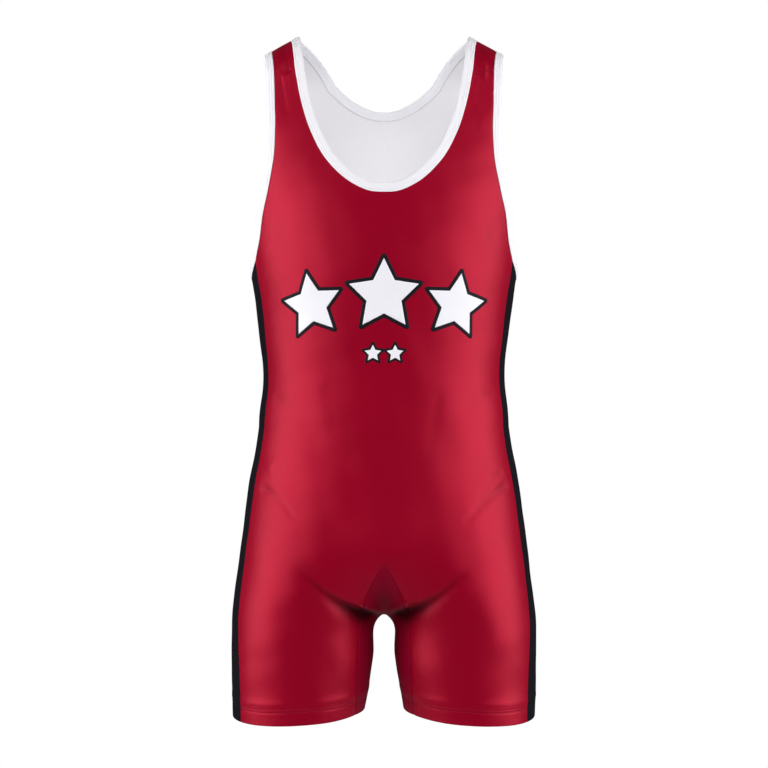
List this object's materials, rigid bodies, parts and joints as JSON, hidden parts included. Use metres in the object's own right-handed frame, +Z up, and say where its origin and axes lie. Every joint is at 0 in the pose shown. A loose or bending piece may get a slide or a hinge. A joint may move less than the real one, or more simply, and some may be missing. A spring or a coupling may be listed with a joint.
{
  "type": "wrestling singlet",
  "caption": "Sleeveless one-piece wrestling singlet with short fitted legs, a scooped neck, bound edges and contrasting side panels, in its worn hollow form.",
  "frame": {"origin": "between the wearer's shoulders, level with the underside of the straps at the middle of their width, where the wearer holds the garment up", "axes": "+Z up, along the body; the front faces -Y; +X towards the wearer's left"},
  "size_m": [0.371, 0.2498, 0.8232],
  "materials": {
    "red_cloth": "satin knit, red outside and near-white inside",
    "gusset_cloth": "satin knit, red outside and near-white inside",
    "black_cloth": "satin knit",
    "white_binding": "matt folded strip with two rows of stitches"
  },
  "bodies": {
    "root": {"front_panel": "red_cloth", "back_panel": "red_cloth", "side_panel_left": "black_cloth", "side_panel_right": "black_cloth", "inner_leg_gusset": "gusset_cloth", "neck_binding": "white_binding", "armhole_binding_left": "white_binding", "armhole_binding_right": "white_binding"}
  },
  "joints": []
}
